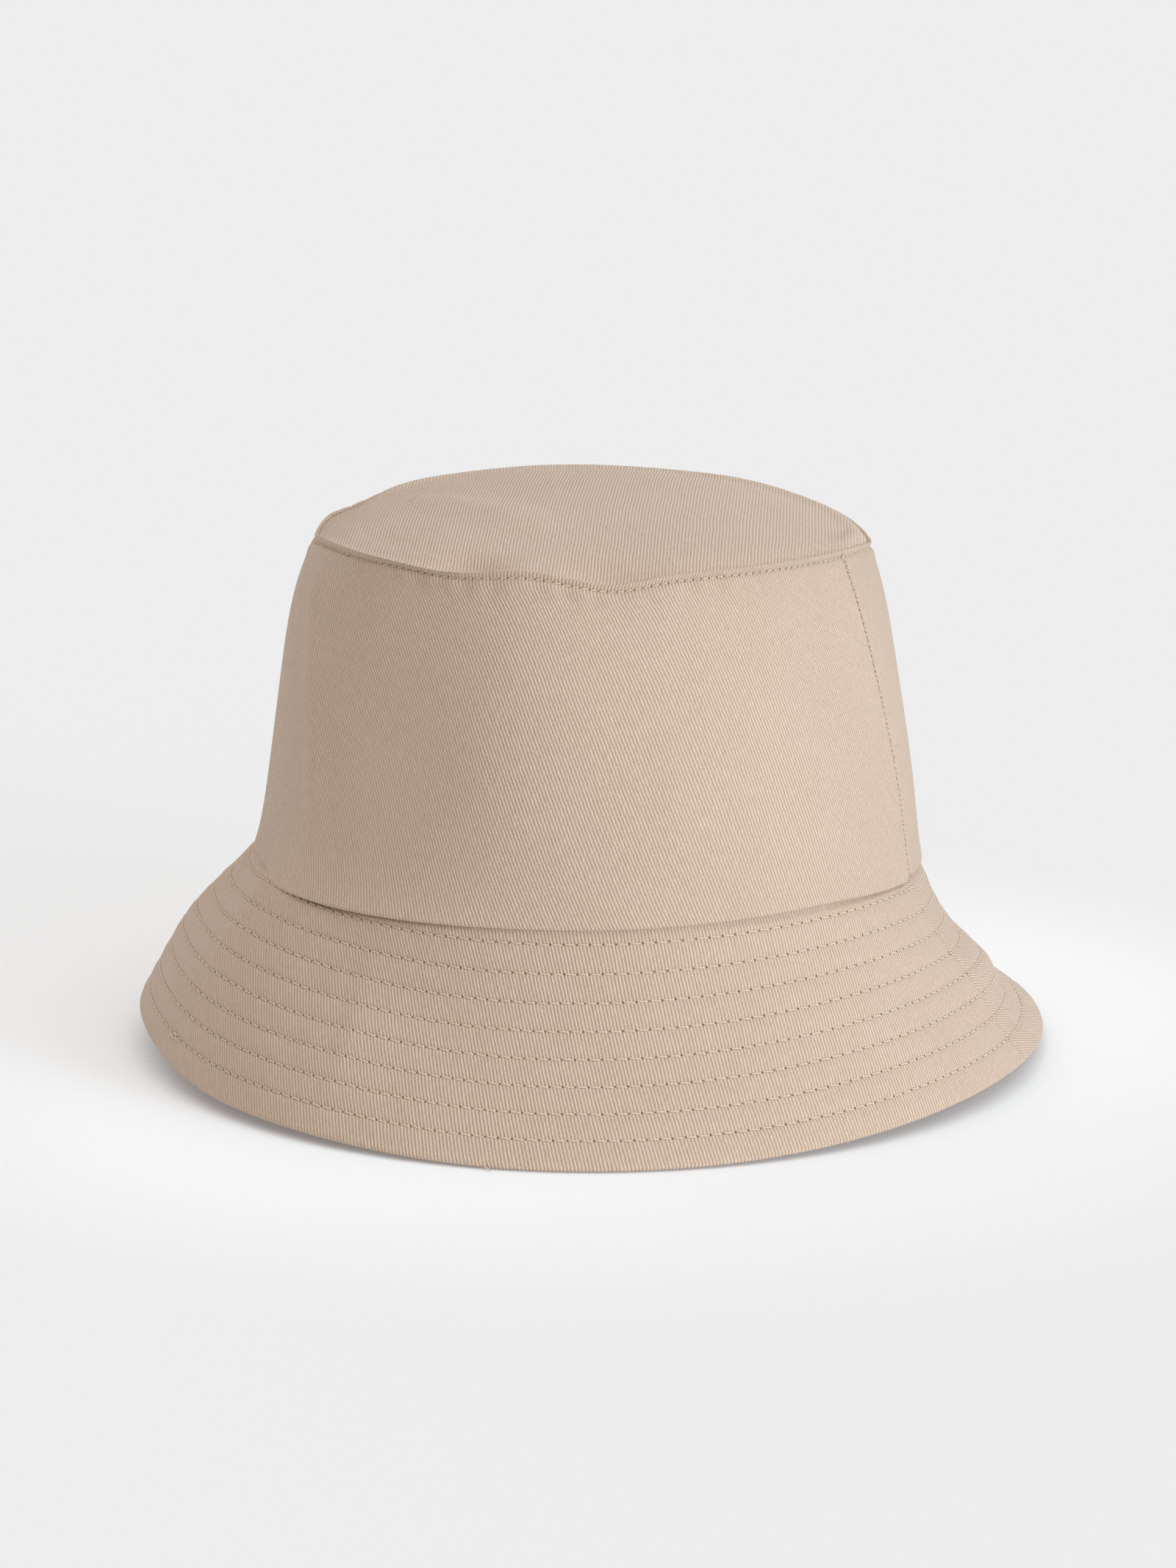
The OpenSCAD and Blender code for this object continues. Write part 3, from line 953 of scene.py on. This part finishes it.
def threads(path, normal, radius, sides=6):
    """Tubes along many short paths: path and normal are (threads, steps, 3)."""
    tangent = np.gradient(path, axis=1)
    tangent /= np.linalg.norm(tangent, axis=-1, keepdims=True)
    across = np.cross(tangent, normal)
    across /= np.linalg.norm(across, axis=-1, keepdims=True)
    up = np.cross(across, tangent)
    steps = path.shape[1]
    run = np.linspace(0, 1, steps)
    taper = radius * np.clip(4.5 * np.minimum(run, 1 - run) + 0.45, 0, 1)
    turn = 2 * math.pi * np.arange(sides) / sides
    ring = (np.cos(turn)[:, None] * up[:, :, None, :] + np.sin(turn)[:, None] * across[:, :, None, :])
    points = path[:, :, None, :] + taper[None, :, None, None] * ring
    count = len(path)
    one = grid_faces(steps, sides, ring_columns=True)
    starts = np.arange(count)[:, None, None] * steps * sides
    quads = (one[None] + starts).reshape(-1, 4)
    caps = np.concatenate([np.arange(sides)[::-1][None, :], (steps - 1) * sides + np.arange(sides)[None, :]])
    caps = (caps[None] + starts).reshape(-1, sides)
    gaps = np.linalg.norm(np.diff(path, axis=1), axis=-1)
    along = np.concatenate([np.zeros((count, 1)), np.cumsum(gaps, 1)], 1)[:, :, None]
    twist = np.stack(np.broadcast_arrays(along + 0 * turn, turn / (2 * math.pi) + 0 * along, 0.0), -1)
    return points.reshape(-1, 3), [quads, caps], twist.reshape(-1, 3)


def join_threads(name, groups, material, node, slot="thread"):
    """One piece from several groups of threads."""
    points, faces, twist, first = [], [], [], 0
    for group_points, group_faces, group_twist in groups:
        faces += [f + first for f in group_faces]
        first += len(group_points)
        points.append(group_points)
        twist.append(group_twist)
    piece = make(name, np.concatenate(points), faces, slot=slot, material=material,
                 layers={"twist": np.concatenate(twist)})
    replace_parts(piece, node)
    return piece


def stitch_row(surface, boundaries, lift, slant=0.3, radius=0.15, steps=9):
    """Stitches between neighbouring angles in boundaries, each arched a little above the cloth."""
    start, end = boundaries[:-1, None], boundaries[1:, None]
    run = np.linspace(0.07, 0.93, steps)[None, :]
    angle = start + (end - start) * run
    arch = 1 - np.abs(2 * run - 1) ** 3
    wobble = 0.05 * np.sin(37.0 * boundaries[:-1, None] + lift)
    side = slant * (run - 0.5) + wobble
    points, normal = surface(angle, side)
    height = lift * arch - 0.42 * (1 - arch)
    return threads(points + height[..., None] * normal, normal, radius)


def brim_boundaries(i):
    """Angles of a row's needle holes."""
    count = stitch_count(i)
    fine = np.linspace(-0.2, 2 * math.pi + 0.2, 20000)
    phase = row_phase(fine, i) * count / (2 * math.pi)
    wanted = np.arange(math.ceil(phase[0]), math.floor(phase[-1]) + 1)
    angles = np.interp(wanted, phase, fine)
    first = angles[angles >= 0][0]
    return angles[(angles >= first) & (angles <= first + 2 * math.pi + 1e-6)]


def brim_rows():
    for i in range(ROWS):
        holes = brim_boundaries(i)

        def above(angle, side):
            return brim(row_at(i) + side, angle, 0.0)

        def below(angle, side):
            points, normal = brim(row_at(i) + side, angle, BRIM_T, -0.7)
            return points, -normal

        groups = [stitch_row(above, holes, 0.26, radius=0.19), stitch_row(below, holes, 0.2)]
        if i == ROWS - 1:
            groups += loose_ends(above)
        join_threads(f"brim_stitches_{i + 1}", groups, thread_pale, f"brim_stitch_{i + 1}")


def loose_ends(above):
    """The backtack where the last row starts and ends, and a short tail of thread at the rim."""
    at = math.radians(227)
    groups = []
    for side, shift in ((0.55, 0.004), (-0.5, -0.012), (0.95, -0.02)):
        run = np.linspace(0, 1, 9)[None, :]
        angle = at + shift + 0.022 * (run - 0.5)
        points, normal = above(angle, side + 0.5 * (run - 0.5))
        height = 0.35 - 0.5 * np.abs(2 * run - 1) ** 4
        groups.append(threads(points + height[..., None] * normal, normal, THREAD))
    run = np.linspace(0, 1, 9)[None, :]
    points, normal = brim(BRIM_W + 0.2 + 1.2 * run, math.radians(279.5) + 0.018 * run, 0.3 - 1.3 * run ** 2)
    groups.append(threads(points, normal, 0.24))
    return groups


brim_rows()


def tip_row():
    count = round(2 * math.pi * TIP_ROW_R / TIP_STITCH)
    holes = 2 * math.pi * np.arange(count + 1) / count

    def face(angle, side):
        return wall(TIP_STITCH_T + side / WALL_LENGTH, angle)

    stitches = stitch_row(face, holes, 0.27, slant=0.4, radius=0.18)
    join_threads("tip_topstitches", [stitches], thread_pale, "tip_topstitch")


tip_row()


def band_row():
    count = round(2 * math.pi * BAND_ROW_R / BAND_STITCH)
    holes = 2 * math.pi * np.arange(count + 1) / count

    def face(angle, side):
        points, normal = band_surface(0.03 + side / WALL_LENGTH, angle, BAND_DEPTH + BAND_T)
        return points, -normal

    join_threads("sweatband_stitches", [stitch_row(face, holes, 0.12)], thread_pale, "sweatband_stitch")


band_row()


def ditch_row(name, middle, node):
    """Small slanting stitches that close a side seam."""
    pitch = DITCH_STITCH / WALL_LENGTH
    start = np.arange(0.012, TIP_STITCH_T - 0.02, pitch)[:, None]
    run = np.linspace(0, 1, 7)[None, :]
    t = start + pitch * 0.85 * run
    angle = middle + 0.0026 + (run - 0.5) * 0.0040
    points, normal = wall(t, angle, 0.0)
    height = 0.12 - 0.25 * np.abs(2 * run - 1) ** 3
    group = threads(points + height[..., None] * normal, normal, 0.15)
    join_threads(name, [group], ditch_thread_shaded, node)


ditch_row("side_seam_stitches_right", 0.0, "side_seam_stitch_right")
ditch_row("side_seam_stitches_left", math.pi, "side_seam_stitch_left")

# ---------------------------------------------------------------- labels

HINGE = np.array(frame["joints"][0]["pos_m"]) / MM


def care_label():
    """A ribbon folded double at its lower end, hanging from its sewn edge."""
    top = label_high[2]
    bottom = label_low[2]
    half_width = (label_high[1] - label_low[1]) / 2
    centre = (label_low[0] + label_high[0]) / 2
    ply = 0.13
    gap = 0.05
    down = np.linspace(top, bottom + 0.35, 30)
    turn = np.radians(np.linspace(0, 180, 9))[1:-1]
    bend = -(gap / 2 + ply) * np.cos(turn)
    outer_x = np.concatenate([np.full(30, -gap / 2 - ply), bend, np.full(30, gap / 2 + ply)])
    outer_z = np.concatenate([down, bottom + 0.35 - 0.3 * np.sin(turn), down[::-1]])
    inner_x = np.concatenate([np.full(30, gap / 2), gap / 2 * np.cos(turn), np.full(30, -gap / 2)])
    inner_z = np.concatenate([down, bottom + 0.5 - 0.1 * np.sin(turn), down[::-1]])
    x = np.concatenate([outer_x, inner_x])[:, None]
    z = np.concatenate([outer_z, inner_z])[:, None]
    y = np.linspace(-half_width, half_width, 40)[None, :]
    fall = (top - z) / (top - bottom)
    curl = 0.9 * fall ** 2 + 0.35 * fall * (y / half_width) ** 2 + 0.12 * fall * np.sin(y * 0.5 + 1)
    points = np.stack(np.broadcast_arrays(centre + x + curl, y, z + 0 * y), -1)
    weave = np.stack(np.broadcast_arrays(y, z + x, 0.0), -1)
    piece = strip("care_label_loop", points, layers={"weave": weave}, body="care_label",
                  slot="label", material=label_satin)
    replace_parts(piece, "care_label")


care_label()


def care_tack():
    """A row of small stitches along the care label's top edge, with a leg of thread at each end."""
    half = 0.4 * (label_high[1] - label_low[1])
    count = 10
    start = np.linspace(-half, half, count + 1)[:-1, None]
    run = np.linspace(0, 1, 7)[None, :]
    y = start + 2 * half / count * (0.06 + 0.88 * run)
    rise = 0.35 * np.sin(run * math.pi)
    x = np.full_like(y, HINGE[0] - 0.15) + 0.15 * rise
    z = np.full_like(y, HINGE[2]) + 0.35 * (run - 0.5)
    path = np.stack([x, y, z], -1)
    normal = np.zeros_like(path)
    normal[..., 0] = 1
    groups = [threads(path, normal, THREAD)]
    for side in (-1, 1):
        leg = np.linspace(0, 1, 7)[None, :]
        path = np.stack([HINGE[0] - 0.1 - 1.2 * leg, side * half + 0 * leg, HINGE[2] + 0 * leg], -1)
        normal = np.zeros_like(path)
        normal[..., 2] = 1
        groups.append(threads(path, normal, THREAD))
    join_threads("care_label_stitches", groups, thread_pale, "care_label_tack")


care_tack()


def size_label():
    """A blank label sewn flat on the sweatband at the back."""
    half = math.atan2(size_high[0], size_high[1])
    angles = np.linspace(math.pi / 2 - half, math.pi / 2 + half, 60)
    places = np.linspace(1 / 16, 4 / 16, 30)
    face = BAND_DEPTH + BAND_T + 0.05
    loop = np.concatenate([places, places[::-1]])
    depths = np.repeat([face, face + 0.3], 30)
    points, _ = band_surface(loop[:, None], angles[None, :], depths[:, None] + 0 * angles[None, :])
    run = (angles - math.pi / 2) * CROWN_R
    weave = np.stack(np.broadcast_arrays(run[None, :], loop[:, None] * WALL_LENGTH, 0.0), -1)
    piece = strip("size_label_blank", points, layers={"weave": weave}, slot="label", material=label_satin)
    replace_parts(piece, "size_label")


size_label()

# ---------------------------------------------------------------- studio


def studio():
    floor_looks = Looks("studio_floor", Roughness=0.9, Specular_IOR_Level=0.0)
    # Painted light: the floor glows, faintly near the hat and strongly away from it, while its own colour
    # goes from pale near the hat to dark away from it, so the floor looks evenly bright and the hat's
    # shadows fade out close by.
    far = floor_looks.ramp(floor_looks.from_axis(), 0.125, 0.25)
    floor_looks.set("Base Color", floor_looks.mix(far, (0.82, 0.82, 0.82, 1.0), (0.22, 0.22, 0.22, 1.0)))
    glow = floor_looks.mix(far, (0.145, 0.143, 0.147, 1.0), (0.632, 0.630, 0.629, 1.0))
    floor_looks.set("Emission Color", glow)
    floor_looks.set("Emission Strength", 1.0)
    mesh = bpy.data.meshes.new("studio_floor")
    side = 30.0
    corners = [(-side, -side, 0), (side, -side, 0), (side, side, 0), (-side, side, 0)]
    mesh.from_pydata(corners, [], [(0, 1, 2, 3)])
    floor = bpy.data.objects.new("studio_floor", mesh)
    floor.location.z = -0.0002
    bpy.context.scene.collection.objects.link(floor)
    mesh.materials.append(floor_looks.material)

    world = bpy.data.worlds.new("studio")
    world.use_nodes = True
    world.node_tree.nodes["Background"].inputs["Color"].default_value = (0.305, 0.260, 0.230, 1.0)
    world.node_tree.nodes["Background"].inputs["Strength"].default_value = 1.0
    bpy.context.scene.world = world

    for name, azimuth, height, strength, spread, colour in (
        ("side", 76, 8, 2.3, 26, (0.87, 1.0, 1.12)),
        ("top", 60, 63, 1.62, 100, (0.90, 1.0, 1.05)),
        ("back", 236, 35, 0.93, 80, (0.99, 1.0, 0.99)),
    ):
        lamp = bpy.data.lights.new(name, "SUN")
        lamp.energy = strength
        lamp.color = colour
        lamp.angle = math.radians(spread)
        light = bpy.data.objects.new(name, lamp)
        light.rotation_euler = (math.radians(90 - height), 0, math.radians(azimuth))
        bpy.context.scene.collection.objects.link(light)


def camera():
    """Well above the hat and looking down at it, a little to the right of the front."""
    turn = math.radians(22)
    away, height, aside = 1.193, 0.3573, -0.001
    lens = bpy.data.cameras.new("camera")
    lens.sensor_width = 36
    lens.lens = 99.6
    view = bpy.data.objects.new("camera", lens)
    view.location = (
        away * math.sin(turn) + aside * math.cos(turn),
        -away * math.cos(turn) + aside * math.sin(turn),
        height,
    )
    view.rotation_euler = (math.radians(90 - 13.43), 0, turn)
    bpy.context.scene.collection.objects.link(view)
    bpy.context.scene.camera = view
    bpy.context.scene.view_settings.view_transform = "Standard"


studio()
camera()

bpy.context.view_layer.update()
